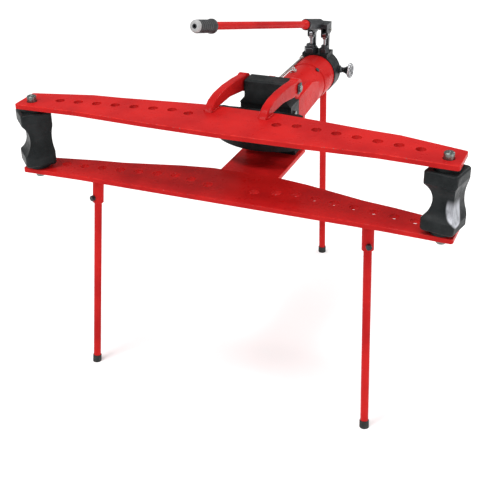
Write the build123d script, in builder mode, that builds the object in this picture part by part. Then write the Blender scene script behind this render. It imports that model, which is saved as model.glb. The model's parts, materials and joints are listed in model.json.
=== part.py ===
"""Hydraulic tube bender on three legs, open-wing pattern, worked by a hand pump.

All lengths are in millimetres.  X runs along the wings, +Y points from the
wings back to the pump, Z is up and the floor is Z = 0.  The frame's origin is
on the floor under the middle of the bounding box.
"""
import math
import os

from build123d import *

os.makedirs("parts", exist_ok=True)

# ---------------------------------------------------------------- driving sizes
PITCH = 50.0                    # spacing of the pin holes along each wing
Z_TOP = 742.5                   # top face of the upper wing above the floor
PLATE_T = 12.0                  # wing plate thickness
WING_GAP = 165.0                # clear space between the two wing plates
Y_WING = -292.6                 # where the two rows of pin holes would meet
HALF_SPAN = 560.0               # half the length of a wing plate

Z_LOW = Z_TOP - PLATE_T - WING_GAP          # top face of the lower wing
Z_UNDER = Z_LOW - PLATE_T                   # underside of the lower wing
Z_AXIS = Z_TOP - 92.0                       # height of the ram's axis

PIN_D = 24.0                    # support pin
PIN_X = 528.5
PIN_Y = Y_WING - 84.0
HOLE_D = 24.6                   # pin holes in the lower wing
HOLE_D_TOP = 27.0               # looser, so that the upper wing lifts off the pins

Y_HINGE = Y_WING + 217.0        # axis on which the upper wing lifts
Z_HINGE = Z_TOP + 2.5
HINGE_D = 18.0
ARM_IN, ARM_OUT = 60.0, 82.0    # faces of the hinge arms

Y_HEAD_F = Y_WING + 195.0       # cylinder head casting, front and rear faces
Y_HEAD_R = Y_WING + 255.0
Y_DRUM_R = Y_WING + 592.0       # rear end of the oil drum
Y_CAP_R = Y_WING + 650.0        # rear face of the pump head's flange
Y_BOSS_R = Y_WING + 697.0       # rear face of its boss

DRUM_R = 56.0                   # oil drum outside the working cylinder
DRUM_T = 4.0
BORE_R = 36.0                   # working cylinder
BARREL_R = 44.0
ROD_R = 22.0                    # ram rod
SPIGOT_R = 16.0                 # nose of the ram, which carries the former
SPIGOT_L = 22.0
TRAVEL = 220.0                  # ram stroke
FIT = 0.05                      # radial clearance of a running fit

FORMER_R = 170.0                # outer radius of the mounted former
FORMER_H = 92.0
FORMER_BACK = Y_WING + 165.0    # its back face with the ram drawn in
FORMER_DEEP = 55.0              # back face to the nose of the curve
GROOVE_R = 30.15                # half of a 60.3 mm tube

LEG_D = 20.0
LEG_WALL = 2.5
SOCKET_D = 29.0
LEG_X, LEG_Y = 358.0, Y_WING - 74.0         # socket centres on the lower wing
LEG_DX, LEG_DY = 0.0545, -0.086             # lean of a front leg per unit of drop
REAR_Y = Y_WING + 671.0
REAR_DY = 0.060
FOOT_R = 12.0

FULCRUM_Y = Y_WING + 635.0      # pin on which the pump lever rocks
FULCRUM_Z = Z_TOP + 31.0
PUMP_ARM = 25.0                 # fulcrum pin to plunger pin
PUMP_TILT = math.radians(17.5)  # droop of that arm with the lever down
PLUNGER_X = 20.0
PLUNGER_Y = FULCRUM_Y - PUMP_ARM * math.cos(PUMP_TILT)
PLUNGER_Z = FULCRUM_Z - PUMP_ARM * math.sin(PUMP_TILT)
PAD_Z = Z_TOP - 31.0            # top of the pad under the pump barrels
PUMP_TOP = Z_TOP - 9.0          # top of the pump barrels
LEVER_RISE = math.radians(14.6)
LEVER_SWING = math.radians(7.0)
LEVER_D = 19.0


# ------------------------------------------------------------------- helpers
def save(builder, name):
    """Label a finished sub-part and write it as a STEP file."""
    builder.part.label = name
    export_step(builder.part, f"parts/{name}.step")


def along_y(y, x=0.0, z=Z_AXIS):
    """Plane facing +Y at the given station, its local x along X and y along Z."""
    return Plane(origin=(x, y, z), x_dir=(-1, 0, 0), z_dir=(0, 1, 0))


def along_x(x, y, z):
    """Plane facing +X at the given point, local x along Y and local y along Z."""
    return Plane(origin=(x, y, z), x_dir=(0, 1, 0), z_dir=(1, 0, 0))


MIN_Z = (Align.CENTER, Align.CENTER, Align.MIN)


def rod(plane, radius, length, mode=Mode.ADD):
    """Round bar standing on a plane."""
    with Locations(plane):
        Cylinder(radius, length, align=MIN_Z, mode=mode)


def rod_y(radius, y0, y1, x=0.0, z=Z_AXIS, mode=Mode.ADD):
    """Round bar along Y between two stations."""
    rod(along_y(y0, x, z), radius, y1 - y0, mode)


def rod_x(radius, x0, x1, y, z, mode=Mode.ADD):
    """Round bar along X between two stations."""
    rod(along_x(x0, y, z), radius, x1 - x0, mode)


def rod_z(radius, x, y, z0, z1, mode=Mode.ADD):
    """Upright round bar between two heights."""
    rod(Plane(origin=(x, y, z0)), radius, z1 - z0, mode)


def block(x0, x1, y0, y1, z0, z1, mode=Mode.ADD):
    """Rectangular block between opposite corners."""
    with Locations(((x0 + x1) / 2, (y0 + y1) / 2, z0)):
        Box(x1 - x0, y1 - y0, z1 - z0, align=MIN_Z, mode=mode)


def wing_outline(front, back):
    """Outline of a wing, from points of its right half mirrored to the left."""
    half = [(x, Y_WING + y) for x, y in front + back]
    other = [(-x, y) for x, y in reversed(half) if x > 0]
    return half + other


def hole_points(first):
    """Centres of the pin holes of both wings, from hole number `first` outwards."""
    points = []
    for side in (-1, 1):
        for number in range(max(first, 3), 10):
            x = PITCH * (number + 0.233)
            points.append((side * x, Y_WING - 0.122 * x))
        points.append((side * 114.0, Y_WING - 28.0))
        if first == 1:
            points.append((side * 62.0, Y_WING - 42.0))
    return points


# ---------------------------------------------------------------- lower wing
with BuildPart() as bottom_wing_plate:
    with BuildSketch(Plane.XY.offset(Z_UNDER)):
        front = [(0.0, -109.0), (400.0, -110.0), (HALF_SPAN, -116.0)]
        back = [(HALF_SPAN, -37.0), (400.0, -5.0), (325.0, 6.0), (171.0, 43.0),
                (92.0, 56.0), (0.0, 56.0)]
        Polygon(*wing_outline(front, back), align=None)
        with Locations(*hole_points(1)):
            Circle(HOLE_D / 2, mode=Mode.SUBTRACT)
        with Locations((-PIN_X, PIN_Y), (PIN_X, PIN_Y)):
            Circle(PIN_D / 2, mode=Mode.SUBTRACT)
    extrude(amount=PLATE_T)
    ends = bottom_wing_plate.edges().filter_by(Axis.Z).sort_by(Axis.X)
    fillet(ends[:2] + ends[-2:], 7.0)
    chamfer(bottom_wing_plate.faces().sort_by(Axis.Z)[-1].outer_wire().edges(), 1.0)
save(bottom_wing_plate, "bottom_wing_plate")

# ----------------------------------------------------------------- upper wing
with BuildPart() as top_wing_plate:
    with BuildSketch(Plane.XY.offset(Z_TOP - PLATE_T)):
        front = [(0.0, -124.0), (200.0, -120.0), (380.0, -112.0), (HALF_SPAN, -119.0)]
        back = [(HALF_SPAN, -31.0), (400.0, 8.0), (325.0, 14.0), (160.0, 35.0),
                (105.0, 41.0), (0.0, 41.0)]
        Polygon(*wing_outline(front, back), align=None)
        with Locations(*hole_points(2)):
            Circle(HOLE_D / 2, mode=Mode.SUBTRACT)
        with Locations((-PIN_X, PIN_Y), (PIN_X, PIN_Y)):
            Circle(HOLE_D_TOP / 2, mode=Mode.SUBTRACT)
    extrude(amount=PLATE_T)
    ends = top_wing_plate.edges().filter_by(Axis.Z).sort_by(Axis.X)
    fillet(ends[:2] + ends[-2:], 7.0)
    chamfer(top_wing_plate.faces().sort_by(Axis.Z)[-1].outer_wire().edges(), 1.0)
save(top_wing_plate, "top_wing_plate")


def hinge_arm(side):
    """Hinge arm welded to the upper wing, with a round eye on the hinge pin."""
    x0 = ARM_IN if side > 0 else -ARM_OUT
    foot = Z_TOP - Z_HINGE
    with BuildPart() as arm:
        with BuildSketch(along_x(x0, Y_HINGE, Z_HINGE)):
            with BuildLine():
                Polyline((0, 22.0), (-60.0, 28.0), (-120.0, 30.5), (-170.0, 28.0),
                         (-200.0, 21.0), (-217.0, 11.0), (-226.0, foot), (-110.0, foot),
                         (0, -20.0), close=True)
            make_face()
        extrude(amount=ARM_OUT - ARM_IN)
        fillet(arm.faces().filter_by(Axis.X).edges(), 4.0)
        rod_x(24.0, x0, x0 + ARM_OUT - ARM_IN, Y_HINGE, Z_HINGE)
        rod_x(HINGE_D / 2 + FIT, x0 - 1.0, x0 + 30.0, Y_HINGE, Z_HINGE, Mode.SUBTRACT)
    return arm


arm_left = hinge_arm(-1)
save(arm_left, "arm_left")
arm_right = hinge_arm(1)
save(arm_right, "arm_right")

# -------------------------------------------------------------------- cradle
TONGUE_X = 80.0
with BuildPart() as cradle_tongue:
    block(-TONGUE_X, TONGUE_X, Y_WING - 20.0, Y_WING + 290.0, Z_UNDER - PLATE_T, Z_UNDER)
    fillet(cradle_tongue.edges().filter_by(Axis.Z), 8.0)
save(cradle_tongue, "cradle_tongue")

with BuildPart() as tongue_weld:
    with BuildSketch(along_x(-78.0, Y_WING + 56.0, Z_UNDER)):
        with BuildLine():
            Polyline((0, 0), (7.0, 0), (0, 7.0), close=True)
        make_face()
    extrude(amount=156.0)
save(tongue_weld, "tongue_weld")

CHEEK_IN, CHEEK_OUT = 54.0, 70.0


def cheek(side):
    """Side plate that stands on the tongue and carries the oil drum."""
    x0 = CHEEK_IN if side > 0 else -CHEEK_OUT
    with BuildPart() as plate:
        with BuildSketch(along_x(x0, Y_HEAD_R, Z_AXIS)):
            with BuildLine():
                Polyline((0, Z_UNDER - Z_AXIS), (0, 52.0), (105.0, 60.0), (158.0, 48.0),
                         (165.0, 6.0), (158.0, -6.0), (52.0, -14.0),
                         (33.0, Z_UNDER - Z_AXIS), close=True)
            make_face()
        extrude(amount=CHEEK_OUT - CHEEK_IN)
        fillet(plate.edges().filter_by(Axis.X).sort_by(Axis.Z)[-3:], 12.0)
        rod_y(DRUM_R, Y_HEAD_R - 1.0, Y_HEAD_R + 180.0, mode=Mode.SUBTRACT)
    return plate


cheek_left = cheek(-1)
save(cheek_left, "cheek_left")
cheek_right = cheek(1)
save(cheek_right, "cheek_right")

# ------------------------------------------------------------ cylinder head
HEAD_X = 70.0                   # half width of the head's lower part
HEAD_TOP_X = 57.0               # half width of the part that takes the hinge pin
BUSH_R = 27.0
TOE_BACK = 33.0                 # how far the casting's foot stands behind its front face
with BuildPart() as head_casting:
    block(-HEAD_X, HEAD_X, Y_HEAD_F, Y_HEAD_R, Z_UNDER, Z_TOP - 42.0)
    with BuildSketch(along_y(Y_HEAD_F - 7.0, z=Z_TOP)):
        with BuildLine():
            Polyline((-HEAD_X, -42.0), (-HEAD_TOP_X, -26.0), (-HEAD_TOP_X, 19.0),
                     (HEAD_TOP_X, 19.0), (HEAD_TOP_X, -26.0), (HEAD_X, -42.0), close=True)
        make_face()
    extrude(amount=54.0)
    edges = head_casting.edges().filter_by(Axis.X).sort_by(Axis.Z)[-2:]
    fillet(edges, 6.0)
    fillet(head_casting.edges().filter_by(Axis.Y).sort_by(Axis.Z)[-2:], 3.0)
    block(-HEAD_X - 1.0, HEAD_X + 1.0, Y_HEAD_F - 1.0, Y_HEAD_F + TOE_BACK,
          Z_UNDER - 1.0, Z_UNDER + 36.0, mode=Mode.SUBTRACT)
    rod_y(BUSH_R, Y_HEAD_F - 1.0, Y_HEAD_R + 1.0, mode=Mode.SUBTRACT)
    rod_x(HINGE_D / 2, -80.0, 80.0, Y_HINGE, Z_HINGE, mode=Mode.SUBTRACT)
save(head_casting, "head_casting")

with BuildPart() as rod_bush:
    rod_y(BUSH_R, Y_HEAD_F, Y_HEAD_R - 14.0)
    rod_y(ROD_R + FIT, Y_HEAD_F - 1.0, Y_HEAD_R, mode=Mode.SUBTRACT)
    chamfer(rod_bush.edges().filter_by(GeomType.CIRCLE).sort_by(Axis.Y)[0:1], 1.0)
save(rod_bush, "rod_bush")

with BuildPart() as rod_seal:
    rod_y(BUSH_R, Y_HEAD_R - 14.0, Y_HEAD_R - 4.0)
    rod_y(ROD_R + 0.4, Y_HEAD_R - 15.0, Y_HEAD_R, mode=Mode.SUBTRACT)
save(rod_seal, "rod_seal")


def seat(x, y, z, direction):
    """Plane on which a bolt head or plug sits, facing the given direction."""
    return Plane(origin=(x, y, z), z_dir=direction)


def hexagon(flats):
    """Corner radius of a hexagon from its width across flats."""
    return flats / math.sqrt(3)


with BuildPart() as head_bolts:
    seats = [seat(side * HEAD_X, Y_HEAD_F + 22.0, Z_TOP - 42.0 - drop, (side, 0, 0))
             for side in (-1, 1) for drop in (25.0, 98.0)]
    with BuildSketch(*seats):
        RegularPolygon(hexagon(13.0), 6)
    extrude(amount=6.0)
save(head_bolts, "head_bolts")

# -------------------------------------------------------- cylinder and drum
with BuildPart() as cylinder_barrel:
    rod_y(BARREL_R, Y_HEAD_R, Y_DRUM_R)
    rod_y(BORE_R, Y_HEAD_R - 1.0, Y_DRUM_R + 1.0, mode=Mode.SUBTRACT)
save(cylinder_barrel, "cylinder_barrel")

with BuildPart() as oil_drum:
    rod_y(DRUM_R, Y_HEAD_R, Y_DRUM_R)
    rod_y(DRUM_R - DRUM_T, Y_HEAD_R - 1.0, Y_DRUM_R + 1.0, mode=Mode.SUBTRACT)
save(oil_drum, "oil_drum")

BAND_R = DRUM_R + 1.5
with BuildPart() as drum_band:
    rod_y(BAND_R, Y_DRUM_R - 80.0, Y_DRUM_R)
    fillet(drum_band.edges().filter_by(GeomType.CIRCLE).sort_by(Axis.Y)[0:1], 1.0)
    rod_y(DRUM_R, Y_DRUM_R - 81.0, Y_DRUM_R + 1.0, mode=Mode.SUBTRACT)
save(drum_band, "drum_band")

with BuildPart() as bleed_plug:
    plug_z = Z_AXIS + DRUM_R - 3.0
    with BuildSketch(seat(-12.5, Y_WING + 440.0, plug_z, (0, 0, 1))):
        RegularPolygon(hexagon(16.0), 6)
    extrude(amount=10.0)
    rod_z(4.0, -12.5, Y_WING + 440.0, plug_z + 10.0, plug_z + 16.0)
    rod_y(DRUM_R, Y_WING + 420.0, Y_WING + 460.0, mode=Mode.SUBTRACT)
save(bleed_plug, "bleed_plug")

with BuildPart() as level_plug:
    with BuildSketch(seat(33.0, Y_DRUM_R - 88.0, Z_AXIS + 42.0, (0.62, 0, 0.785))):
        RegularPolygon(hexagon(11.0), 6)
    extrude(amount=7.0)
    rod_y(DRUM_R, Y_DRUM_R - 110.0, Y_DRUM_R - 60.0, mode=Mode.SUBTRACT)
save(level_plug, "level_plug")

PIPE_X, PIPE_Z = -38.0, Z_AXIS + 48.0
with BuildPart() as return_line:
    rod_y(3.5, Y_HEAD_R, Y_DRUM_R, PIPE_X, PIPE_Z)
    rod_y(BAND_R, Y_DRUM_R - 81.0, Y_DRUM_R + 1.0, mode=Mode.SUBTRACT)
save(return_line, "return_line")

with BuildPart() as return_line_nuts:
    with BuildSketch(along_y(Y_HEAD_R, PIPE_X, PIPE_Z), along_y(Y_DRUM_R - 12.0, PIPE_X, PIPE_Z)):
        RegularPolygon(8.0, 6)
        Circle(3.5, mode=Mode.SUBTRACT)
    extrude(amount=12.0)
    rod_y(BAND_R, Y_HEAD_R - 1.0, Y_DRUM_R + 1.0, mode=Mode.SUBTRACT)
save(return_line_nuts, "return_line_nuts")

# ------------------------------------------------------------------- pump head
FLANGE_R, BOSS_R = 60.0, 34.0
VALVE_Y, VALVE_Z = Y_WING + 632.0, Z_AXIS + 8.0
WELL_Z = PAD_Z - 24.0           # bottom of the wells below the plungers
PLUNGER_R = {-1: 5.0, 1: 4.0}   # low and high pressure plungers
with BuildPart() as pump_head:
    rod_y(FLANGE_R, Y_DRUM_R, Y_CAP_R)
    fillet(pump_head.edges().filter_by(GeomType.CIRCLE).sort_by(Axis.Y)[-1:], 7.0)
    rod_y(BOSS_R, Y_CAP_R - 1.0, Y_BOSS_R)
    fillet(pump_head.edges().filter_by(GeomType.CIRCLE).sort_by(Axis.Y)[-1:], 8.0)
    block(-41.0, 34.0, Y_DRUM_R, Y_CAP_R - 2.0, Z_AXIS, PAD_Z)
    rod_x(12.0, 40.0, 63.0, VALVE_Y, VALVE_Z)
    block(-15.0, 15.0, REAR_Y - 15.0, REAR_Y + 15.0, Z_AXIS - 52.0, Z_AXIS)
    for side in (-1, 1):
        rod_z(PLUNGER_R[side] + FIT, side * PLUNGER_X, PLUNGER_Y, WELL_Z, PAD_Z + 5.0,
              mode=Mode.SUBTRACT)
    rod_x(4.0 + FIT, 30.0, 70.0, VALVE_Y, VALVE_Z, mode=Mode.SUBTRACT)
    rear_seat = Plane(origin=(0, REAR_Y, Z_AXIS - 53.0), z_dir=(0, -REAR_DY, 1))
    with BuildSketch(rear_seat):
        Circle(LEG_D / 2)
    extrude(amount=34.0, mode=Mode.SUBTRACT)
save(pump_head, "pump_head")

with BuildPart() as pump_head_bolts:
    turns = [math.radians(60 * number) for number in range(6)]
    seats = [seat(43.0 * math.cos(turn), Y_CAP_R, Z_AXIS + 43.0 * math.sin(turn), (0, 1, 0))
             for turn in turns]
    with BuildSketch(*seats):
        RegularPolygon(hexagon(10.0), 6)
    extrude(amount=5.0)
save(pump_head_bolts, "pump_head_bolts")


def pump_barrel(side, flats, top):
    """Hexagon barrel standing on the pad, bored for its plunger."""
    radius = PLUNGER_R[side]
    spot = (side * PLUNGER_X, PLUNGER_Y)
    with BuildPart() as barrel:
        with BuildSketch(Plane.XY.offset(PAD_Z)):
            with Locations(spot):
                RegularPolygon(hexagon(flats), 6)
        extrude(amount=top - 8.0 - PAD_Z)
        rod_z(flats * 0.40, *spot, top - 9.0, top)
        rod_z(radius + FIT, *spot, PAD_Z - 1.0, top + 1.0, mode=Mode.SUBTRACT)
    return barrel


pump_barrel_left = pump_barrel(-1, 36.0, PUMP_TOP)
save(pump_barrel_left, "pump_barrel_left")
pump_barrel_right = pump_barrel(1, 24.0, PUMP_TOP)
save(pump_barrel_right, "pump_barrel_right")

EYE_T = 10.0                    # thickness of the plunger and fulcrum eyes
PUMP_PIN_R = 4.0


def plunger(side):
    """Bright plunger with its eye and cross pin."""
    x = side * PLUNGER_X
    with BuildPart() as piece:
        rod_z(PLUNGER_R[side], x, PLUNGER_Y, WELL_Z + 2.0, PLUNGER_Z - 10.0)
        with BuildSketch(along_x(x - EYE_T / 2, PLUNGER_Y, PLUNGER_Z)):
            Circle(7.5)
            with Locations((0, -7.0)):
                Rectangle(10.0, 14.0)
        extrude(amount=EYE_T)
        rod_x(PUMP_PIN_R, x - 11.0, x + 11.0, PLUNGER_Y, PLUNGER_Z)
    return piece


plunger_left = plunger(-1)
save(plunger_left, "plunger_left")
plunger_right = plunger(1)
save(plunger_right, "plunger_right")

with BuildPart() as fulcrum_posts:
    for side in (-1, 1):
        x = side * PLUNGER_X
        with BuildSketch(along_x(x - EYE_T / 2, FULCRUM_Y, FULCRUM_Z)):
            Circle(8.5)
            with Locations((1.0, (PAD_Z - FULCRUM_Z) / 2)):
                Rectangle(12.0, FULCRUM_Z - PAD_Z)
            Circle(PUMP_PIN_R, mode=Mode.SUBTRACT)
        extrude(amount=EYE_T)
save(fulcrum_posts, "fulcrum_posts")

with BuildPart() as fulcrum_pin:
    rod_x(PUMP_PIN_R, -32.0, 32.0, FULCRUM_Y, FULCRUM_Z)
save(fulcrum_pin, "fulcrum_pin")

# ----------------------------------------------------------------- pump lever
AIM = (-math.sin(LEVER_SWING) * math.cos(LEVER_RISE),
       -math.cos(LEVER_SWING) * math.cos(LEVER_RISE), math.sin(LEVER_RISE))
YOKE_Y, YOKE_Z = PLUNGER_Y + 8.0, FULCRUM_Z + 17.0


def lever_plane(distance):
    """Plane across the lever, the given distance out from the yoke."""
    origin = (AIM[0] * distance, YOKE_Y + AIM[1] * distance, YOKE_Z + AIM[2] * distance)
    return Plane(origin=origin, x_dir=(math.cos(LEVER_SWING), -math.sin(LEVER_SWING), 0),
                 z_dir=AIM)


def sleeve(outer, inner, start, end):
    """Round sleeve along the lever between two distances from the yoke."""
    rod(lever_plane(start), outer, end - start)
    rod(lever_plane(start - 0.5), inner, end - start + 1.0, Mode.SUBTRACT)


SOCKET_END = 92.0
LEVER_START = 30.0
TUBE_END = 609.0
GRIP_END = 682.0
TUBE_IN_GRIP = 60.0
GRIP_R = 14.5
with BuildPart() as lever_yoke:
    block(-29.0, 29.0, PLUNGER_Y - 9.0, FULCRUM_Y + 9.0,
          FULCRUM_Z + 10.0, FULCRUM_Z + 22.0)
    with BuildSketch(lever_plane(0.0)):
        Circle(16.0)
    extrude(amount=SOCKET_END)
    for x in (-29.0, -14.5, 11.0, 25.5):
        with BuildSketch(along_x(x, FULCRUM_Y, FULCRUM_Z)):
            with BuildLine():
                Polyline((9.0, 14.0), (9.0, -4.0), (4.0, -9.0), (-4.0, -9.0), (-16.0, -17.0),
                         (-30.0, -17.0), (-33.0, -12.0), (-33.0, 14.0), close=True)
            make_face()
            Circle(PUMP_PIN_R + FIT, mode=Mode.SUBTRACT)
            with Locations((PLUNGER_Y - FULCRUM_Y - 0.6, PLUNGER_Z - FULCRUM_Z)):
                SlotCenterToCenter(3.2, 2 * (PUMP_PIN_R + 0.45), mode=Mode.SUBTRACT)
        extrude(amount=3.5)
    block(-10.9, 10.9, PLUNGER_Y - 30.0, FULCRUM_Y + 20.0,
          FULCRUM_Z - 36.0, FULCRUM_Z + 9.0, mode=Mode.SUBTRACT)
    with BuildSketch(lever_plane(LEVER_START)):
        Circle(LEVER_D / 2)
    extrude(amount=SOCKET_END, mode=Mode.SUBTRACT)
save(lever_yoke, "lever_yoke")

with BuildPart() as lever_tube:
    sleeve(LEVER_D / 2, LEVER_D / 2 - 3.0, LEVER_START, TUBE_END + TUBE_IN_GRIP)
save(lever_tube, "lever_tube")

with BuildPart() as lever_ring:
    sleeve(LEVER_D / 2 + 2.0, LEVER_D / 2, TUBE_END - 6.0, TUBE_END)
save(lever_ring, "lever_ring")

with BuildPart() as lever_grip:
    with BuildSketch(lever_plane(TUBE_END)):
        Circle(GRIP_R + 2.0)
    extrude(amount=12.0)
    with BuildSketch(lever_plane(TUBE_END + 12.0)):
        Circle(GRIP_R)
    extrude(amount=GRIP_END - TUBE_END - 12.0)
    for number in range(6):
        with BuildSketch(lever_plane(TUBE_END + 17.0 + 9.0 * number)):
            Circle(GRIP_R)
            Circle(GRIP_R - 1.2, mode=Mode.SUBTRACT)
        extrude(amount=3.5, mode=Mode.SUBTRACT)
    with BuildSketch(lever_plane(TUBE_END - 0.5)):
        Circle(LEVER_D / 2)
    extrude(amount=TUBE_IN_GRIP + 0.5, mode=Mode.SUBTRACT)
save(lever_grip, "lever_grip")

with BuildPart() as grip_cap:
    with BuildSketch(lever_plane(GRIP_END)):
        Circle(GRIP_R)
    extrude(amount=8.0)
    fillet(grip_cap.edges().filter_by(GeomType.CIRCLE).sort_by(Axis.Z)[-1:], 5.0)
    with BuildSketch(lever_plane(GRIP_END + 2.0)):
        Circle(3.2)
    extrude(amount=20.0, mode=Mode.SUBTRACT)
save(grip_cap, "grip_cap")

# ------------------------------------------------------------- release valve
with BuildPart() as valve_spindle:
    rod_x(4.0, 34.0, 92.0, VALVE_Y, VALVE_Z)
save(valve_spindle, "valve_spindle")

with BuildPart() as valve_nut:
    with BuildSketch(along_x(63.0, VALVE_Y, VALVE_Z)):
        RegularPolygon(8.5, 6)
        Circle(4.4, mode=Mode.SUBTRACT)
    extrude(amount=7.0)
save(valve_nut, "valve_nut")

WHEEL_R = 21.5
with BuildPart() as valve_handwheel:
    with BuildSketch(Plane(origin=(0, VALVE_Y, VALVE_Z), x_dir=(1, 0, 0), z_dir=(0, -1, 0))):
        with BuildLine():
            Polyline((71.0, 4.0), (71.0, 7.5), (78.0, 9.5), (85.0, 14.0), (90.0, WHEEL_R),
                     (98.0, WHEEL_R), (98.0, 15.0), (95.0, 12.0), (95.0, 0.0), (92.0, 0.0),
                     (92.0, 4.0), close=True)
        make_face()
    revolve(axis=Axis((0, VALVE_Y, VALVE_Z), (1, 0, 0)))
    for number in range(8):
        turn = math.radians(45 * number)
        rod_x(4.0, 88.0, 101.0, VALVE_Y + 24.0 * math.cos(turn),
              VALVE_Z + 24.0 * math.sin(turn), mode=Mode.SUBTRACT)
save(valve_handwheel, "valve_handwheel")

# ------------------------------------------------------------------ hinge pin
with BuildPart() as hinge_pin:
    rod_x(HINGE_D / 2, -ARM_OUT - 8.0, ARM_OUT + 8.0, Y_HINGE, Z_HINGE)
    chamfer(hinge_pin.edges().filter_by(GeomType.CIRCLE), 1.5)
save(hinge_pin, "hinge_pin")

with BuildPart() as hinge_keepers:
    for side in (-1, 1):
        with Locations((side * (ARM_OUT + 3.0), Y_HINGE, Z_HINGE)):
            Box(3.0, 25.0, 25.0)
    fillet(hinge_keepers.edges().filter_by(Axis.X), 3.0)
    rod_x(HINGE_D / 2, -ARM_OUT - 9.0, ARM_OUT + 9.0, Y_HINGE, Z_HINGE, mode=Mode.SUBTRACT)
save(hinge_keepers, "hinge_keepers")

# ------------------------------------------------------------------------ ram
SPRING_CLOSED = 75.0            # room for the closed spring ahead of the piston
PISTON_Y = Y_HEAD_R + TRAVEL + SPRING_CLOSED
ROD_END = FORMER_BACK
with BuildPart() as piston:
    rod_y(BORE_R - FIT, PISTON_Y, PISTON_Y + 34.0)
    with BuildSketch(along_y(PISTON_Y + 12.0)):
        Circle(BORE_R)
        Circle(BORE_R - 5.0, mode=Mode.SUBTRACT)
    extrude(amount=8.0, mode=Mode.SUBTRACT)
    rod_y(ROD_R - 6.0, PISTON_Y - 1.0, PISTON_Y + 35.0, mode=Mode.SUBTRACT)
save(piston, "piston")

with BuildPart() as piston_seal:
    rod_y(BORE_R - 0.3, PISTON_Y + 12.0, PISTON_Y + 20.0)
    rod_y(BORE_R - 5.0, PISTON_Y + 11.0, PISTON_Y + 21.0, mode=Mode.SUBTRACT)
save(piston_seal, "piston_seal")

with BuildPart() as ram_rod:
    rod_y(ROD_R, ROD_END, PISTON_Y)
    rod_y(ROD_R - 6.0, PISTON_Y - 1.0, PISTON_Y + 34.0)
    rod_y(SPIGOT_R, ROD_END - SPIGOT_L, ROD_END + 1.0)
    chamfer(ram_rod.edges().filter_by(GeomType.CIRCLE).sort_by(Axis.Y)[0:1], 2.0)
save(ram_rod, "ram_rod")

SPRING_Y0, SPRING_Y1 = Y_HEAD_R + 4.0, PISTON_Y - 4.0
SPRING_TURNS = 14
with BuildPart() as return_spring:
    with BuildLine() as coil:
        Helix(pitch=(SPRING_Y1 - SPRING_Y0) / SPRING_TURNS, height=SPRING_Y1 - SPRING_Y0,
              radius=28.5, center=(0, SPRING_Y0, Z_AXIS), direction=(0, 1, 0))
    with BuildSketch(Plane(origin=coil.line @ 0, z_dir=coil.line % 0)):
        Circle(2.5)
    sweep(path=coil.line, is_frenet=True)
save(return_spring, "return_spring")

# --------------------------------------------------------------------- former
NOSE_Y = FORMER_BACK - FORMER_DEEP
CENTRE_Y = NOSE_Y + FORMER_R
TIP_X = 116.0
with BuildPart() as former:
    tip_y = CENTRE_Y - math.sqrt(FORMER_R ** 2 - TIP_X ** 2)
    with BuildSketch(Plane.XY.offset(Z_AXIS - FORMER_H / 2)):
        with BuildLine():
            nose = ThreePointArc((-TIP_X, tip_y), (0, NOSE_Y), (TIP_X, tip_y))
            Polyline(nose @ 1, (TIP_X - 12.0, tip_y + 8.0), (88.0, FORMER_BACK - 4.0),
                     (46.0, FORMER_BACK), (-46.0, FORMER_BACK), (-88.0, FORMER_BACK - 4.0),
                     (-TIP_X + 12.0, tip_y + 8.0), nose @ 0)
        make_face()
    extrude(amount=FORMER_H)
    with BuildSketch(Plane(origin=(0, CENTRE_Y, Z_AXIS), x_dir=(1, 0, 0), z_dir=(0, -1, 0))):
        with Locations((FORMER_R, 0)):
            Circle(GROOVE_R)
    revolve(axis=Axis((0, CENTRE_Y, Z_AXIS), (0, 0, 1)), mode=Mode.SUBTRACT)
    with Locations((-72.0, FORMER_BACK - 4.0, Z_AXIS), (72.0, FORMER_BACK - 4.0, Z_AXIS)):
        Box(30.0, 22.0, 40.0, mode=Mode.SUBTRACT)
    rod_y(SPIGOT_R + FIT, FORMER_BACK - SPIGOT_L - 1.0, FORMER_BACK + 1.0,
          mode=Mode.SUBTRACT)
save(former, "former")

# ------------------------------------------------------------- support blocks
BLOCK_W = 80.0
HUB_R, HUB_H = 30.0, 10.0       # round hubs above and below the block's body
BLOCK_TURN = {-1: -45.0, 1: -12.0}      # how far each block has swivelled, in degrees
GROOVES = [(60.0, 18.0), (120.0, 10.0), (150.0, 5.0), (58.0, 20.0)]     # radius and depth


def support_block(side):
    """Four-sided swivel block with a groove of a different size on each face."""
    x0 = side * PIN_X
    low, high = Z_LOW + 0.5, Z_LOW + WING_GAP - 0.5
    middle = (low + high) / 2
    with BuildPart() as piece:
        with BuildSketch(Plane.XY.offset(low + HUB_H)):
            with Locations(Location((x0, PIN_Y), BLOCK_TURN[side])):
                RectangleRounded(BLOCK_W, BLOCK_W, 11.0)
        extrude(amount=high - low - 2 * HUB_H)
        rims = piece.edges().filter_by(Axis.Z, reverse=True)
        fillet(rims, 6.0)
        for number, (radius, deep) in enumerate(GROOVES):
            turn = math.radians(90 * number - 90 + BLOCK_TURN[side])
            face = (math.cos(turn), math.sin(turn))
            reach = BLOCK_W / 2 + radius - deep
            origin = (x0 + face[0] * reach - face[1] * 60.0,
                      PIN_Y + face[1] * reach + face[0] * 60.0, middle)
            with BuildSketch(Plane(origin=origin, z_dir=(face[1], -face[0], 0))):
                Circle(radius)
            extrude(amount=120.0, mode=Mode.SUBTRACT)
        rod_z(HUB_R, x0, PIN_Y, low, low + HUB_H)
        rod_z(HUB_R, x0, PIN_Y, high - HUB_H, high)
        rod_z(PIN_D / 2 + FIT, x0, PIN_Y, low - 1.0, high + 1.0, mode=Mode.SUBTRACT)
    return piece


support_block_left = support_block(-1)
save(support_block_left, "support_block_left")
support_block_right = support_block(1)
save(support_block_right, "support_block_right")


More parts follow.
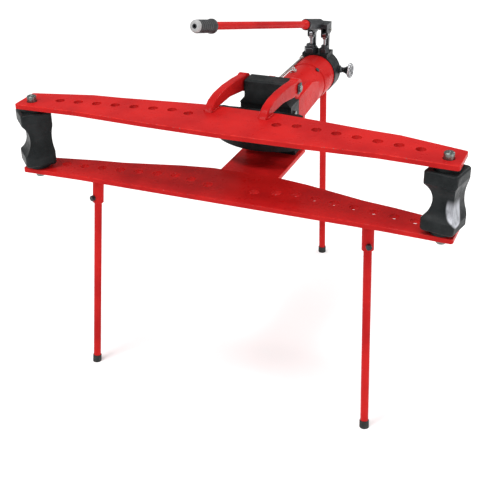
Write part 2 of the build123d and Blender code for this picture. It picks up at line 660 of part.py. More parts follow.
def support_pin(side):
    """Plain pin through both wings and the support block."""
    with BuildPart() as piece:
        rod_z(PIN_D / 2, side * PIN_X, PIN_Y, Z_TOP - 206.0, Z_TOP + 15.0)
        chamfer(piece.edges().filter_by(GeomType.CIRCLE), 1.5)
    return piece


support_pin_left = support_pin(-1)
save(support_pin_left, "support_pin_left")
support_pin_right = support_pin(1)
save(support_pin_right, "support_pin_right")

with BuildPart() as pin_collars:
    for side in (-1, 1):
        rod_z(PIN_D / 2 + 4.0, side * PIN_X, PIN_Y, Z_UNDER - 7.0, Z_UNDER)
        rod_z(PIN_D / 2, side * PIN_X, PIN_Y, Z_UNDER - 8.0, Z_UNDER + 1.0, mode=Mode.SUBTRACT)
save(pin_collars, "pin_collars")

# ----------------------------------------------------------------------- legs
SOCKET_L = 70.0


def leg_axis(side, drop):
    """Point on a front leg's axis, the given drop below the lower wing."""
    return (side * (LEG_X + LEG_DX * drop), LEG_Y + LEG_DY * drop, Z_UNDER - drop)


def leg_plane(side, drop):
    """Plane across a front leg, facing down it."""
    return Plane(origin=leg_axis(side, drop), x_dir=(0, 1, LEG_DY),
                 z_dir=(side * LEG_DX, LEG_DY, -1))


def leg_socket(side):
    """Socket tube welded under the lower wing, trimmed to its underside."""
    with BuildPart() as tube:
        with BuildSketch(leg_plane(side, -6.0)):
            Circle(SOCKET_D / 2)
        extrude(amount=SOCKET_L + 6.0)
        with BuildSketch(leg_plane(side, -8.0)):
            Circle(LEG_D / 2)
        extrude(amount=SOCKET_L + 20.0, mode=Mode.SUBTRACT)
        x, y, _ = leg_axis(side, 0.0)
        block(x - 40.0, x + 40.0, y - 40.0, y + 40.0, Z_UNDER, Z_UNDER + 30.0,
              mode=Mode.SUBTRACT)
    return tube


leg_socket_left = leg_socket(-1)
save(leg_socket_left, "leg_socket_left")
leg_socket_right = leg_socket(1)
save(leg_socket_right, "leg_socket_right")


def leg_pieces(plane_at, length):
    """Leg tube and its rubber foot, for a plane function measured down the leg."""
    with BuildPart() as tube:
        with BuildSketch(plane_at(0.0)):
            Circle(LEG_D / 2)
            Circle(LEG_D / 2 - LEG_WALL, mode=Mode.SUBTRACT)
        extrude(amount=length - 6.0)
    with BuildPart() as foot:
        with BuildSketch(plane_at(length - 20.0)):
            Circle(FOOT_R)
        extrude(amount=33.0)
        with BuildSketch(plane_at(length - 21.0)):
            Circle(LEG_D / 2)
        extrude(amount=15.0, mode=Mode.SUBTRACT)
        block(-HALF_SPAN, HALF_SPAN, -600.0, 600.0, -60.0, 0.0, mode=Mode.SUBTRACT)
    return tube, foot


def front_plane(side):
    """Stations down a front leg, from just under the lower wing."""
    scale = 1.0 / math.sqrt(1.0 + LEG_DX ** 2 + LEG_DY ** 2)
    return lambda distance: leg_plane(side, 4.0 + distance * scale)


def rear_plane(distance):
    """Stations down the rear leg, from inside the pump head."""
    scale = 1.0 / math.sqrt(1.0 + REAR_DY ** 2)
    drop = distance * scale
    return Plane(origin=(0, REAR_Y + REAR_DY * (drop - 20.0), Z_AXIS - 33.0 - drop),
                 x_dir=(1, 0, 0), z_dir=(0, REAR_DY, -1))


FRONT_L = (Z_UNDER - 4.0) * math.sqrt(1.0 + LEG_DX ** 2 + LEG_DY ** 2)
REAR_L = (Z_AXIS - 33.0) * math.sqrt(1.0 + REAR_DY ** 2)
leg_left, foot_left = leg_pieces(front_plane(-1), FRONT_L)
save(leg_left, "leg_left")
save(foot_left, "foot_left")
leg_right, foot_right = leg_pieces(front_plane(1), FRONT_L)
save(leg_right, "leg_right")
save(foot_right, "foot_right")
leg_rear, foot_rear = leg_pieces(rear_plane, REAR_L)
save(leg_rear, "leg_rear")
save(foot_rear, "foot_rear")

with BuildPart() as leg_screws:
    for side in (-1, 1):
        turn = (side * 0.4, -0.917, 0)
        x, y, z = leg_axis(side, 54.0)
        with BuildSketch(seat(x + turn[0] * 13.0, y + turn[1] * 13.0, z, turn)):
            RegularPolygon(hexagon(13.0), 6)
        extrude(amount=10.0)
        rod(leg_plane(side, 0.0), SOCKET_D / 2, 90.0, Mode.SUBTRACT)
save(leg_screws, "leg_screws")
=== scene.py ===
"""Looks of the hydraulic tube bender: finishes, rounded edges and turned parts around its frame.

Sizes of pieces are written in millimetres and turned into metres with MM.  Relief in materials,
lights, camera and floor are in metres.
"""
import json
import math
import random

import bmesh
import bpy
import numpy as np
from mathutils import Matrix, Vector


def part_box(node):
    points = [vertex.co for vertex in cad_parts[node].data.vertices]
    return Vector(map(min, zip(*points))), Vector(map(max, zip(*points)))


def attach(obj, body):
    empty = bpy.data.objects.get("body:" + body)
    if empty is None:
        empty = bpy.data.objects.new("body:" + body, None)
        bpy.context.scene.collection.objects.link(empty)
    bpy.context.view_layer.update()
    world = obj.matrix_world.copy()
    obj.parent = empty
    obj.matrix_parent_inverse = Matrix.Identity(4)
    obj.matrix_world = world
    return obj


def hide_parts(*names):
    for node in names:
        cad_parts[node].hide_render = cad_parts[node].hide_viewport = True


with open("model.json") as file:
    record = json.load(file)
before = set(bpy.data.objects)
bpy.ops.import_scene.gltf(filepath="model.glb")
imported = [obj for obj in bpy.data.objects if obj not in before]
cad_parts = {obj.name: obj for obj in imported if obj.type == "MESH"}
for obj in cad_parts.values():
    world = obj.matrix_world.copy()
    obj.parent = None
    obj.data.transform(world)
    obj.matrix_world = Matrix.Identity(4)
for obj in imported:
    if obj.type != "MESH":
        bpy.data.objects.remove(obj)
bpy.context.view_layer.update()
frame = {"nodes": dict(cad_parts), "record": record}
nodes = frame["nodes"]
body_of_node = {n: b for b, members in frame["record"]["behaviour"]["bodies"].items() for n in members}
slot_of_node = {row["node"]: row["material_slot"] for row in frame["record"]["subparts"]}
MM = 0.001
random.seed(7)


# ------------------------------------------------------------------ materials
class Shader:
    """A principled material with short calls for the nodes that these finishes use."""

    def __init__(self, name):
        self.material = bpy.data.materials.new(name)
        self.material.use_nodes = True
        self.tree = self.material.node_tree
        self.bsdf = self.tree.nodes["Principled BSDF"]
        self.place = self.tree.nodes.new("ShaderNodeTexCoord").outputs["Object"]
        self.heights = []

    def node(self, kind, **settings):
        made = self.tree.nodes.new(kind)
        for key, value in settings.items():
            setattr(made, key, value)
        return made

    def join(self, source, target):
        self.tree.links.new(source, target)

    def noise(self, scale, detail=3.0, rough=0.55, stretch=(1, 1, 1)):
        """Noise of about 1/scale metres, drawn out along an axis where stretch is small."""
        mapping = self.node("ShaderNodeMapping")
        mapping.inputs["Scale"].default_value = stretch
        self.join(self.place, mapping.inputs["Vector"])
        made = self.node("ShaderNodeTexNoise")
        made.inputs["Scale"].default_value = scale
        made.inputs["Detail"].default_value = detail
        made.inputs["Roughness"].default_value = rough
        self.join(mapping.outputs["Vector"], made.inputs["Vector"])
        return made.outputs["Fac"]

    def cells(self, scale):
        """Distance to the nearest of scattered points, for pits and grit."""
        made = self.node("ShaderNodeTexVoronoi")
        made.inputs["Scale"].default_value = scale
        self.join(self.place, made.inputs["Vector"])
        return made.outputs["Distance"]

    def span(self, value, low, high, to_low=0.0, to_high=1.0):
        """Value mapped smoothly from low..high to to_low..to_high, and clamped."""
        made = self.node("ShaderNodeMapRange", interpolation_type="SMOOTHSTEP")
        self.join(value, made.inputs["Value"])
        for key, number in (("From Min", low), ("From Max", high), ("To Min", to_low),
                            ("To Max", to_high)):
            made.inputs[key].default_value = number
        return made.outputs["Result"]

    def calc(self, operation, a, b):
        made = self.node("ShaderNodeMath", operation=operation)
        for number, value in enumerate((a, b)):
            if isinstance(value, (int, float)):
                made.inputs[number].default_value = value
            else:
                self.join(value, made.inputs[number])
        return made.outputs["Value"]

    def axis(self, letter):
        made = self.node("ShaderNodeSeparateXYZ")
        self.join(self.place, made.inputs["Vector"])
        return made.outputs[letter]

    def blend(self, factor, a, b):
        """Colour a where factor is 0 and b where it is 1."""
        made = self.node("ShaderNodeMix", data_type="RGBA")
        self.join(factor, made.inputs["Factor"])
        for key, value in (("A", a), ("B", b)):
            socket = [s for s in made.inputs if s.name == key and s.type == "RGBA"][0]
            if isinstance(value, tuple):
                socket.default_value = (*value, 1.0)
            else:
                self.join(value, socket)
        return [s for s in made.outputs if s.type == "RGBA"][0]

    def raise_by(self, height, strength, distance):
        """One layer of relief; layers add up."""
        self.heights.append((height, strength, distance))

    def finish(self, colour=None, roughness=None, metallic=None, **values):
        """Joins the sockets and sets the plain values."""
        for key, value in (("Base Color", colour), ("Roughness", roughness),
                           ("Metallic", metallic)):
            if isinstance(value, (int, float)):
                self.bsdf.inputs[key].default_value = value
            elif isinstance(value, tuple):
                self.bsdf.inputs[key].default_value = (*value, 1.0)
            elif value is not None:
                self.join(value, self.bsdf.inputs[key])
        for key, value in values.items():
            self.bsdf.inputs[key.replace("_", " ")].default_value = value
        before = None
        for height, strength, distance in self.heights:
            bump = self.node("ShaderNodeBump")
            bump.inputs["Strength"].default_value = strength
            bump.inputs["Distance"].default_value = distance
            self.join(height, bump.inputs["Height"])
            if before is not None:
                self.join(before, bump.inputs["Normal"])
            before = bump.outputs["Normal"]
        if before is not None:
            self.join(before, self.bsdf.inputs["Normal"])
        return self.material


RED = (0.56, 0.015, 0.014)
RED_DEEP = (0.43, 0.009, 0.010)
RED_WORN = (0.72, 0.040, 0.032)
RED_GRIME = (0.20, 0.02, 0.02)
PRIMER = (0.16, 0.14, 0.13)
BARE = (0.42, 0.41, 0.40)
BLACK = (0.0085, 0.0105, 0.0110)
BLACK_PALE = (0.0200, 0.0230, 0.0240)
BLACK_SPECK = (0.036, 0.039, 0.041)
RUST = (0.05, 0.028, 0.020)
HIGHLIGHT_PALE = (0.50, 0.51, 0.55)
HIGHLIGHT_REACH = (0.031, 0.031, 0.046)    # half-axes of the zone of painted highlight, in metres


def red_enamel(name, worn=0.0):
    """Sprayed gloss enamel with orange peel, faint clouding, scuffs and, on edges, chips."""
    s = Shader(name)
    cloud = s.span(s.noise(9.0, 4.0), 0.35, 0.70)
    colour = s.blend(cloud, RED, RED_DEEP)
    scuff = s.span(s.noise(120.0, 6.0, 0.7, (1.0, 0.16, 0.5)), 0.60, 0.74)
    colour = s.blend(s.calc("MULTIPLY", scuff, 0.14), colour, RED_WORN)
    grime = s.span(s.noise(34.0, 5.0, 0.65), 0.60, 0.82)
    colour = s.blend(s.calc("MULTIPLY", grime, 0.18), colour, RED_GRIME)
    rough = s.calc("ADD", s.span(s.noise(45.0, 4.0), 0.3, 0.7, 0.26, 0.40),
                   s.calc("MULTIPLY", scuff, 0.20))
    metal = 0.0
    if worn:
        rub = s.span(s.noise(190.0, 5.0, 0.7), 0.62 - 0.10 * worn, 0.68 - 0.10 * worn)
        colour = s.blend(s.span(s.noise(60.0, 3.0), 0.30, 0.75), RED_WORN, colour)
        colour = s.blend(rub, colour, PRIMER)
        bare = s.span(s.noise(260.0, 5.0, 0.7), 0.66 - 0.06 * worn, 0.71 - 0.06 * worn)
        colour = s.blend(bare, colour, BARE)
        metal = s.calc("MULTIPLY", bare, 0.9)
    s.raise_by(s.noise(420.0, 2.0), 0.05, 0.0004)
    s.raise_by(s.noise(28.0, 2.0), 0.10, 0.0012)
    return s.finish(colour, rough, metal, Coat_Weight=0.06, Coat_Roughness=0.12,
                    Specular_IOR_Level=0.03)


def black_casting(name, highlight_at=None):
    """Blackened casting with a sandy skin; on a support block, a pale, partly metallic patch round one
    spot is a painted highlight, standing in for light reflected in its groove.
    """
    s = Shader(name)
    colour = s.blend(s.span(s.noise(26.0, 4.0), 0.32, 0.72), BLACK, BLACK_PALE)
    speck = s.span(s.noise(480.0, 4.0, 0.7), 0.48, 0.70)
    colour = s.blend(s.calc("MULTIPLY", speck, 0.40), colour, BLACK_SPECK)
    rough = s.span(s.noise(70.0, 4.0), 0.3, 0.7, 0.30, 0.46)
    metal = 0.0
    rust = s.span(s.noise(55.0, 6.0, 0.7), 0.66, 0.80)
    colour = s.blend(s.calc("MULTIPLY", rust, 0.25), colour, RUST)
    # Painted highlight: a pale, partly metallic, streaked patch round the given spot, fading out
    # upwards, stands in for the light reflected in the block's groove.
    if highlight_at:
        squares = []
        for letter, centre, reach in zip("XYZ", highlight_at, HIGHLIGHT_REACH):
            offset = s.calc("DIVIDE", s.calc("SUBTRACT", s.axis(letter), centre), reach)
            squares.append(s.calc("MULTIPLY", offset, offset))
        away = s.calc("ADD", s.calc("ADD", squares[0], squares[1]), squares[2])
        near = s.span(away, 1.15, 0.85)
        fade = s.span(s.axis("Z"), highlight_at[2] + 0.020, highlight_at[2] - 0.008)
        streak = s.span(s.noise(150.0, 5.0, 0.7, (1.0, 1.0, 0.06)), 0.25, 0.60, 0.45, 1.0)
        highlight_mask = s.calc("MULTIPLY", s.calc("MULTIPLY", near, fade), streak)
        colour = s.blend(highlight_mask, colour, HIGHLIGHT_PALE)
        metal = s.calc("MULTIPLY", highlight_mask, 0.35)
        rough = s.calc("ADD", rough, s.calc("MULTIPLY", highlight_mask, 0.08))
    s.raise_by(s.noise(520.0, 5.0, 0.75), 0.34, 0.0006)
    s.raise_by(s.noise(60.0, 3.0), 0.22, 0.0012)
    s.raise_by(s.cells(190.0), 0.08, 0.0006)
    return s.finish(colour, rough, metal, Specular_IOR_Level=0.09)


def metal_finish(name, light, dark, rough_low, rough_high, metallic=1.0):
    """Machined or plated metal: fine tool lines, stains and a little uneven polish."""
    s = Shader(name)
    colour = s.blend(s.span(s.noise(40.0, 5.0, 0.65), 0.35, 0.72), light, dark)
    line = s.noise(700.0, 3.0, 0.6)
    rough = s.calc("ADD", s.span(s.noise(90.0, 4.0), 0.3, 0.7, rough_low, rough_high),
                   s.calc("MULTIPLY", line, 0.05))
    s.raise_by(line, 0.12, 0.0002)
    return s.finish(colour, rough, metallic)


def moulded(name, light, dark, rough_low, rough_high):
    """Rubber or plastic with a moulded grain and rubbed, dusty patches."""
    s = Shader(name)
    dust = s.span(s.noise(60.0, 6.0, 0.7), 0.45, 0.78)
    colour = s.blend(dust, dark, light)
    rough = s.span(s.noise(110.0, 4.0), 0.3, 0.7, rough_low, rough_high)
    s.raise_by(s.noise(900.0, 3.0, 0.6), 0.22, 0.0003)
    s.raise_by(s.noise(70.0, 2.0), 0.12, 0.0006)
    return s.finish(colour, rough, 0.0)


FINISH = {
    "red_paint": red_enamel("red_enamel"),
    "black_casting": black_casting("blackened_casting"),
    "dark_steel": metal_finish("blued_steel", (0.034, 0.037, 0.042), (0.014, 0.016, 0.019),
                               0.28, 0.42, 0.60),
    "bright_steel": metal_finish("plated_steel", (0.60, 0.60, 0.58), (0.40, 0.39, 0.36),
                                 0.24, 0.38),
    "chrome": metal_finish("chrome_plate", (0.34, 0.34, 0.35), (0.13, 0.13, 0.14), 0.10, 0.20),
    "black_rubber": moulded("foot_rubber", (0.030, 0.032, 0.030), (0.010, 0.012, 0.011),
                            0.55, 0.80),
    "grip_plastic": moulded("grip_rubber", (0.050, 0.052, 0.055), (0.016, 0.017, 0.019),
                            0.38, 0.60),
    "pale_plastic": moulded("pale_plastic", (0.55, 0.55, 0.54), (0.36, 0.36, 0.36), 0.35, 0.55),
    "bronze": metal_finish("bush_bronze", (0.58, 0.38, 0.17), (0.34, 0.20, 0.09), 0.25, 0.40),
}
EDGE = {
    "red_paint": red_enamel("red_enamel_edge", worn=0.30),
    "black_casting": metal_finish("rubbed_casting", (0.060, 0.064, 0.066),
                                  (0.020, 0.023, 0.025), 0.28, 0.42, 0.6),
    "dark_steel": metal_finish("rubbed_steel", (0.14, 0.145, 0.15), (0.045, 0.048, 0.052),
                               0.22, 0.36, 0.9),
}
PIN_FINISH = metal_finish("oiled_pin_steel", (0.22, 0.25, 0.235), (0.085, 0.10, 0.095), 0.20, 0.36,
                          0.9)
CREAM = moulded("cream_ring", (0.60, 0.52, 0.38), (0.42, 0.36, 0.26), 0.35, 0.55)


def carry(node, finish):
    """A carried-over frame node takes a finish and keeps its own shape."""
    mesh = nodes[node].data
    mesh.materials.clear()
    mesh.materials.append(finish)
    mesh.polygons.foreach_set("material_index", [0] * len(mesh.polygons))
    return nodes[node]


for name in nodes:
    carry(name, FINISH[slot_of_node[name]])
carry("return_line", FINISH["bright_steel"])


# ------------------------------------------------------------------- geometry
def new_piece(name, verts, faces, materials, node=None, body=None):
    """A mesh piece in the frame's own coordinates that rides on a body."""
    mesh = bpy.data.meshes.new(name)
    mesh.from_pydata([tuple(v) for v in verts], [], faces)
    mesh.update()
    for material in materials:
        mesh.materials.append(material)
    piece = bpy.data.objects.new(name, mesh)
    bpy.context.scene.collection.objects.link(piece)
    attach(piece, body or body_of_node[node])
    if node:
        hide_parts(node)
    return piece


def tidy_normals(piece, sharp=35.0):
    """Normals point outwards, and only edges past the sharp angle stay hard."""
    bm = bmesh.new()
    bm.from_mesh(piece.data)
    bmesh.ops.recalc_face_normals(bm, faces=bm.faces)
    bm.to_mesh(piece.data)
    bm.free()
    piece.data.shade_smooth()
    piece.data.set_sharp_from_angle(angle=math.radians(sharp))
    return piece


def soften(node, width, materials=None, segments=3):
    """A frame node rebuilt with rounded edges, which take the second material."""
    source = nodes[node].data
    bm = bmesh.new()
    bm.from_mesh(source)
    bmesh.ops.remove_doubles(bm, verts=bm.verts, dist=0.004 * MM)
    bmesh.ops.dissolve_limit(bm, angle_limit=math.radians(0.6), verts=bm.verts, edges=bm.edges)
    bm.verts.index_update()
    verts = [v.co.copy() for v in bm.verts]
    faces = [[v.index for v in f.verts] for f in bm.faces]
    bm.free()
    slot = slot_of_node[node]
    pair = materials or [FINISH[slot], EDGE.get(slot, FINISH[slot])]
    piece = new_piece(node + "_finished", verts, faces, pair, node=node)
    tidy_normals(piece, 30.0)
    bevel = piece.modifiers.new("rounded_edges", "BEVEL")
    bevel.width = width * MM
    bevel.segments = segments
    bevel.limit_method = "ANGLE"
    bevel.angle_limit = math.radians(32.0)
    bevel.material = 1
    even = piece.modifiers.new("even_normals", "WEIGHTED_NORMAL")
    even.keep_sharp = True
    return piece


def spine(node, towards):
    """Start, direction, length and radius of a round bar-like node, along the given way."""
    co = np.array([v.co for v in nodes[node].data.vertices], float)
    middle = (co.max(0) + co.min(0)) / 2
    _, _, axes = np.linalg.svd(co - co.mean(0), full_matrices=False)
    way = axes[0] if abs(axes[0] @ np.array(towards)) > 0.7 else np.array(towards, float)
    way = way / np.linalg.norm(way)
    if way @ np.array(towards) < 0:
        way = -way
    along = (co - middle) @ way
    off = np.linalg.norm((co - middle) - np.outer(along, way), axis=1)
    start = Vector(middle + way * along.min())
    return start, Vector(way), along.max() - along.min(), off.max()


def round_off(profile, radius, steps=4, closed=False):
    """The corners of a profile of (along, radius) points replaced by small arcs."""
    count = len(profile)
    result = []
    for number, point in enumerate(profile):
        here = Vector(point)
        if not closed and number in (0, count - 1):
            result.append(tuple(here))
            continue
        back = Vector(profile[number - 1]) - here
        ahead = Vector(profile[(number + 1) % count]) - here
        reach = min(radius, 0.45 * back.length, 0.45 * ahead.length)
        if reach < 1e-7 or abs(back.angle(ahead) - math.pi) < 0.05:
            result.append(tuple(here))
            continue
        first, last = here + back.normalized() * reach, here + ahead.normalized() * reach
        for step in range(steps + 1):
            t = step / steps
            curve = first * (1 - t) ** 2 + here * 2 * t * (1 - t) + last * t ** 2
            result.append(tuple(curve))
    return result


def lathe(name, profile, start, way, materials, node, segments=96, closed=False, flutes=None):
    """A turned piece that replaces a node, from a profile of (along, radius) in millimetres.

    An open profile begins and ends on the axis.  Flutes are given by their number, their depth
    and the radius past which they are cut.
    """
    turn = way.to_track_quat("Z", "Y").to_matrix()
    verts, rings = [], []
    for along, radius in profile:
        if radius < 1e-6:
            verts.append(start + way * along * MM)
            rings.append([len(verts) - 1])
            continue
        ring = []
        for number in range(segments):
            angle = 2 * math.pi * number / segments
            size = radius
            if flutes and radius > flutes[2]:
                size = radius - flutes[1] * max(0.0, math.cos(flutes[0] * angle)) ** 2
            spot = Vector((size * math.cos(angle), size * math.sin(angle), along)) * MM
            verts.append(start + turn @ spot)
            ring.append(len(verts) - 1)
        rings.append(ring)
    faces = []
    pairs = list(zip(rings, rings[1:]))
    if closed:
        pairs.append((rings[-1], rings[0]))
    for near, far in pairs:
        for number in range(segments):
            after = (number + 1) % segments
            if len(near) == 1 and len(far) == 1:
                break
            if len(near) == 1:
                faces.append((near[0], far[after], far[number]))
            elif len(far) == 1:
                faces.append((near[number], near[after], far[0]))
            else:
                faces.append((near[number], near[after], far[after], far[number]))
    return tidy_normals(new_piece(name, verts, faces, materials, node=node), 40.0)


def bead(name, points, radius, body, closed=False):
    """A weld bead: a low rippled roll along a line of points."""
    rolls = []
    count = len(points)
    for number, point in enumerate(points):
        after = points[(number + 1) % count] if closed or number < count - 1 else point
        before = points[number - 1] if closed or number else point
        way = (after - before).normalized()
        side = way.cross(Vector((0, 0, 1)))
        side = side.normalized() if side.length > 1e-6 else Vector((1, 0, 0))
        up = side.cross(way)
        ripple = 1.0 + 0.16 * math.sin(number * 2.1) + random.uniform(-0.07, 0.07)
        end = 0.35 if not closed and number in (0, count - 1) else 1.0
        size = radius * MM * ripple * end
        rolls.append([point + side * math.cos(a) * size + up * math.sin(a) * size
                      for a in (2 * math.pi * k / 10 for k in range(10))])
    verts = [v for roll in rolls for v in roll]
    faces = []
    for number in range(count if closed else count - 1):
        base, following = 10 * number, 10 * ((number + 1) % count)
        for k in range(10):
            faces.append((base + k, base + (k + 1) % 10, following + (k + 1) % 10, following + k))
    if not closed:
        faces.append(tuple(range(9, -1, -1)))
        faces.append(tuple(range(10 * (count - 1), 10 * count)))
    piece = new_piece(name, verts, faces, [FINISH["red_paint"]], body=body)
    return tidy_normals(piece, 60.0)


def line(a, b, step=2.2):
    """Points from a to b about step millimetres apart."""
    count = max(3, round((b - a).length / (step * MM)))
    return [a.lerp(b, k / count) for k in range(count + 1)]


# ------------------------------------------------------- plates and castings
PIN_PAIR = [PIN_FINISH, PIN_FINISH]
# Edge width in millimetres, steps across the edge, finishes if not the slot's own, nodes.
SOFTENED = (
    (1.3, 3, None, ("top_wing_plate", "bottom_wing_plate")),
    (1.6, 3, None, ("arm_left", "arm_right", "cheek_left", "cheek_right", "cradle_tongue")),
    (0.8, 3, None, ("leg_socket_left", "leg_socket_right")),
    (1.8, 3, None, ("head_casting", "pump_head")),
    (0.7, 2, None, ("pump_head_bolts", "bleed_plug", "leg_screws", "return_line_nuts",
                    "valve_nut", "hinge_keepers")),
    (0.7, 2, PIN_PAIR, ("head_bolts",)),
    (0.7, 2, None, ("level_plug",)),
    (1.0, 2, None, ("pump_barrel_left", "pump_barrel_right", "fulcrum_posts", "lever_yoke")),
    (0.4, 2, None, ("plunger_left", "plunger_right")),
    (2.2, 4, None, ("former",)),
    (1.8, 4, None, ("support_block_left",)),
)
for width, segments, pair, names in SOFTENED:
    for name in names:
        soften(name, width, pair, segments)

# The right block gets a painted highlight on its outer front corner, from the middle down: a pale,
# partly metallic patch standing in for light reflected in its groove.
low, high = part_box("support_block_right")
centre = (low + high) / 2
highlight_skin = black_casting("block_casting_painted_highlight", (centre.x + 40 * MM, centre.y - 27 * MM,
                                                 low.z + 74 * MM))
soften("support_block_right", 1.8, [highlight_skin, EDGE["black_casting"]], 4)

# ----------------------------------------------------------------- turned parts
RED_ONLY = [FINISH["red_paint"]]
LEG_WALL = 2.5
FOOT_LAP = 14.0                 # how far a foot reaches up its leg
FOOT_WALL = 2.0
FOOT_L = 33.0                   # long enough to pass the floor, where it is cut
DRUM_WALL = 4.0
LEVER_WALL = 3.0
SOCKET_IN = 62.5                # how far the lever's tube goes into the yoke's socket


def tube_profile(length, outer, wall, soft):
    """Closed profile of a tube with softened ends, in millimetres."""
    inner = outer - wall
    return round_off([(0, inner), (0, outer), (length, outer), (length, inner)], soft,
                     closed=True)


for name in ("leg_left", "leg_right", "leg_rear"):
    start, way, length, radius = spine(name, (0, 0, -1))
    lathe(name + "_finished", tube_profile(length / MM, radius / MM, LEG_WALL, 0.5), start, way,
          RED_ONLY, node=name, closed=True, segments=64)

for name in ("foot_left", "foot_right", "foot_rear"):
    leg = name.replace("foot", "leg")
    start, way, length, radius = spine(leg, (0, 0, -1))
    top = length / MM - FOOT_LAP
    tube = radius / MM
    outer = tube + FOOT_WALL
    ribs = [(top, tube), (top, outer - 0.6)]
    for number in range(2):
        place = top + 3.0 + 4.5 * number
        ribs += [(place, outer), (place + 2.0, outer), (place + 2.6, outer - 0.8),
                 (place + 3.8, outer - 0.8)]
    ribs += [(top + 12.5, outer), (top + FOOT_L, outer), (top + FOOT_L, 0.0)]
    seat = top + FOOT_LAP + 0.5
    foot = lathe(name + "_finished", [(seat, 0.0), (seat, tube)] + round_off(ribs, 0.5, 2),
                 start, way, [FINISH["black_rubber"]], node=name, segments=72)
    bm = bmesh.new()
    bm.from_mesh(foot.data)
    cut = bmesh.ops.bisect_plane(bm, geom=bm.verts[:] + bm.edges[:] + bm.faces[:],
                                 plane_co=(0, 0, 0), plane_no=(0, 0, -1), clear_outer=True)
    rim = [e for e in cut["geom_cut"] if isinstance(e, bmesh.types.BMEdge)]
    bmesh.ops.contextual_create(bm, geom=rim)
    bm.to_mesh(foot.data)
    bm.free()
    tidy_normals(foot, 40.0)

start, way, length, radius = spine("oil_drum", (0, 1, 0))
drum_l, drum_r = length / MM, radius / MM
lathe("oil_drum_finished", tube_profile(drum_l, drum_r, DRUM_WALL, 0.8), start, way, RED_ONLY,
      node="oil_drum", closed=True, segments=128)

start, way, length, radius = spine("drum_band", (0, 1, 0))
band_l, band_r = length / MM, radius / MM
lathe("drum_band_finished", tube_profile(band_l, band_r, band_r - drum_r, 2.0), start, way,
      RED_ONLY, node="drum_band", closed=True, segments=128)

# The lever's parts follow one line, from the yoke out to the grip.
AIM = spine("lever_tube", (0, -1, 0))[1]
start, _, length, radius = spine("lever_tube", AIM)
tube_l, tube_r = length / MM, radius / MM
bore_r = tube_r - LEVER_WALL
tube = [(0, bore_r), (0, tube_r), (SOCKET_IN, tube_r), (SOCKET_IN, tube_r + 4.0),
        (SOCKET_IN + 8.0, tube_r + 3.4), (SOCKET_IN + 22.0, tube_r), (tube_l, tube_r),
        (tube_l, bore_r)]
lathe("lever_tube_finished", round_off(tube, 2.0, closed=True), start, AIM, RED_ONLY,
      node="lever_tube", closed=True, segments=72)

start, _, length, radius = spine("lever_ring", AIM)
ring_l, ring_r = length / MM, radius / MM
lathe("lever_ring_finished", tube_profile(ring_l, ring_r, ring_r - tube_r, 0.8), start, AIM,
      [CREAM], node="lever_ring", closed=True, segments=72)

start, _, length, radius = spine("lever_grip", AIM)
grip_l, grip_r = length / MM, radius / MM
hand_r = grip_r - 2.0
grip = [(60.5, 0.0), (60.5, tube_r), (0, tube_r), (0, grip_r - 1.5), (2.5, grip_r),
        (9.5, grip_r), (14.0, hand_r)]
for number in range(6):
    place = 17.0 + 9.0 * number
    grip += [(place, hand_r), (place + 1.0, hand_r - 1.2), (place + 3.0, hand_r - 1.2),
             (place + 4.0, hand_r)]
grip += [(grip_l, hand_r), (grip_l, 0.0)]
lathe("lever_grip_finished", round_off(grip, 1.0, 3), start, AIM, [FINISH["grip_plastic"]],
      node="lever_grip", segments=96, flutes=(24, 0.35, hand_r - 1.0))

start, _, length, radius = spine("grip_cap", AIM)
cap_l, cap_r = length / MM, radius / MM
dome = [(0.0, 0.0), (0.0, cap_r)]
for number in range(9):
    angle = math.radians(90 * number / 9)
    dome.append((2.0 + (cap_l - 2.0) * math.sin(angle), cap_r - 6.5 * (1 - math.cos(angle))))
dome += [(cap_l, 6.0), (cap_l - 0.6, 4.6), (cap_l - 1.2, 3.6), (2.2, 3.2), (2.0, 0.0)]
cap = lathe("grip_cap_finished", dome, start, AIM, [FINISH["pale_plastic"], FINISH["dark_steel"]],
            node="grip_cap", segments=96)
# Painted shade: the faces round the axis, the funnel and floor of the centre recess, take the dark
# steel finish to darken the recess.
for face in cap.data.polygons:
    if (face.center - start).cross(AIM).length < 5.5 * MM:
        face.material_index = 1

low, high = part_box("valve_handwheel")
hub = Vector((low.x, (low.y + high.y) / 2, (low.z + high.z) / 2))
wheel_l, wheel_r = (high.x - low.x) / MM, (high.z - low.z) / 2 / MM
wheel = [(0, 4.05), (0, 7.3), (7.0, 9.2), (14.0, 13.6), (18.0, wheel_r - 1.2),
         (19.5, wheel_r), (25.0, wheel_r), (wheel_l, wheel_r - 1.5), (wheel_l, 15.0),
         (wheel_l - 3.0, 12.0), (wheel_l - 3.0, 4.05)]
lathe("valve_handwheel_finished", round_off(wheel, 1.4, 4, closed=True), hub,
      Vector((1, 0, 0)), [FINISH["chrome"]], node="valve_handwheel", segments=160, closed=True,
      flutes=(20, 0.9, wheel_r - 2.0))

for side in ("left", "right"):
    name = "support_pin_" + side
    start, way, length, radius = spine(name, (0, 0, 1))
    long, thick = length / MM, radius / MM
    pin = [(0, 0), (0, thick - 2.0), (2.0, thick), (long - 2.0, thick), (long, thick - 2.0),
           (long, 4.5), (long - 3.0, 2.5), (long - 4.0, 0)]
    lathe(name + "_finished", round_off(pin, 0.6, 3), start, way, [PIN_FINISH], node=name,
          segments=72)
soften("pin_collars", 0.8, PIN_PAIR)
soften("hinge_pin", 0.5, PIN_PAIR)

# --------------------------------------------------------------- weld beads
# Bead radii in millimetres; each bead's line stands a little off the faces that it joins.
SOCKET_BEAD, ARM_BEAD, CHEEK_BEAD = 2.6, 2.8, 3.2
RING_STEPS = 44
OFF = 0.6 * MM
LIFT = 0.8 * MM

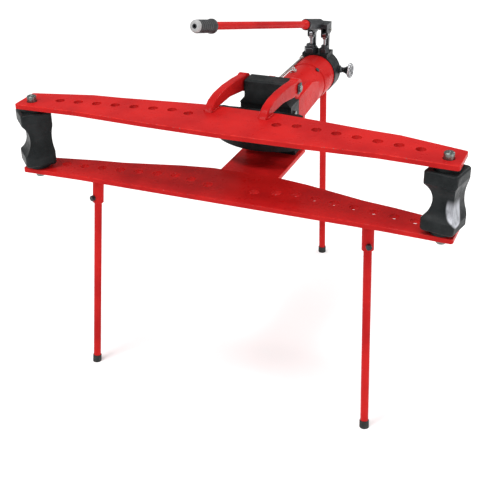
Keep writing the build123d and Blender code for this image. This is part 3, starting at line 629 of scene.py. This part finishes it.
for side in ("left", "right"):
    start, way, _, radius = spine("leg_socket_" + side, (0, 0, -1))
    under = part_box("bottom_wing_plate")[0].z
    middle = start + way * ((under - start.z) / way.z)
    ring = [middle + Vector((math.cos(a), math.sin(a), 0)) * (radius + 0.4 * MM) - Vector((0, 0, MM))
            for a in (2 * math.pi * k / RING_STEPS for k in range(RING_STEPS))]
    bead("socket_weld_" + side, ring, SOCKET_BEAD, "frame", closed=True)
    low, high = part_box("arm_" + side)
    plate_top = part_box("top_wing_plate")[1].z
    for word, x in (("inner", low.x - OFF), ("outer", high.x + OFF)):
        front = Vector((x, low.y + 5 * MM, plate_top + LIFT))
        back = Vector((x, low.y + 42 * MM, plate_top + LIFT))
        bead(f"arm_weld_{side}_{word}", line(front, back), ARM_BEAD, "top_wing")
    low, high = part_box("cheek_" + side)
    outer = low.x - OFF if side == "left" else high.x + OFF
    front = Vector((outer, low.y + 3 * MM, low.z + LIFT))
    back = Vector((outer, low.y + 31 * MM, low.z + LIFT))
    bead(f"cheek_weld_{side}", line(front, back), CHEEK_BEAD, "frame")

# ------------------------------------------------------------- stage and light
FLOOR_SIZE = 40.0
PAPER = (0.93, 0.93, 0.93)
WHITE = (1.0, 1.0, 1.0, 1.0)
WORLD_STRENGTH = 0.38
SUN_STRENGTH, SUN_SPREAD = 1.95, math.radians(30.0)
SUN_WAY = Vector((0.12, 0.12, -1.0))
# Name, place, aim, width and power in watts.
SOFT_BOXES = (
    ("key", (-1.4, -2.6, 3.2), (0.0, -0.2, 0.6), 1.4, 46.0),
    ("rim", (1.8, 2.4, 2.6), (0.0, 0.0, 0.7), 1.4, 30.0),
    ("fill", (3.4, -0.9, 1.3), (0.0, 0.0, 0.65), 1.6, 34.0),
)

bpy.ops.mesh.primitive_plane_add(size=FLOOR_SIZE, location=(0, 0, 0))
floor = bpy.context.object
floor.name = "floor"
paper = Shader("pale_floor")
floor.data.materials.append(paper.finish(PAPER, 0.85, 0.0, Emission_Color=WHITE,
                                         Emission_Strength=0.15))

world = bpy.data.worlds.new("studio")
bpy.context.scene.world = world
world.use_nodes = True
world.node_tree.nodes["Background"].inputs["Color"].default_value = WHITE
world.node_tree.nodes["Background"].inputs["Strength"].default_value = WORLD_STRENGTH


def soft_light(name, place, aim, size, power):
    """A square soft box aimed at a point."""
    data = bpy.data.lights.new(name, "AREA")
    data.size = size
    data.energy = power
    lamp = bpy.data.objects.new(name, data)
    lamp.location = place
    lamp.rotation_euler = (Vector(aim) - Vector(place)).to_track_quat("-Z", "Y").to_euler()
    bpy.context.scene.collection.objects.link(lamp)


for soft_box in SOFT_BOXES:
    soft_light(*soft_box)
overhead = bpy.data.objects.new("overhead", bpy.data.lights.new("overhead", "SUN"))
overhead.data.energy = SUN_STRENGTH
overhead.data.angle = SUN_SPREAD
overhead.rotation_euler = SUN_WAY.to_track_quat("-Z", "Y").to_euler()
bpy.context.scene.collection.objects.link(overhead)

# -------------------------------------------------------------------- camera
YAW, DOWN, ROLL = math.radians(26.254), math.radians(29.305), math.radians(-2.559)
CAMERA_AT = (0.8874, -2.3674, 1.6190)
LENS, SENSOR = 71.52, 36.0
SHIFT = (0.1074, 0.0146)
ahead = Vector((-math.sin(YAW) * math.cos(DOWN), math.cos(YAW) * math.cos(DOWN), -math.sin(DOWN)))
level = Vector((math.cos(YAW), math.sin(YAW), 0.0))
above = level.cross(ahead)
right = level * math.cos(ROLL) + above * math.sin(ROLL)
up = above * math.cos(ROLL) - level * math.sin(ROLL)
data = bpy.data.cameras.new("camera")
data.sensor_width = SENSOR
data.lens = LENS
data.shift_x, data.shift_y = SHIFT
data.clip_end = 100.0
camera = bpy.data.objects.new("camera", data)
turn = Matrix((right, up, -ahead)).transposed().to_4x4()
camera.matrix_world = Matrix.Translation(CAMERA_AT) @ turn
bpy.context.scene.collection.objects.link(camera)
bpy.context.scene.camera = camera
bpy.context.scene.view_settings.view_transform = "Standard"
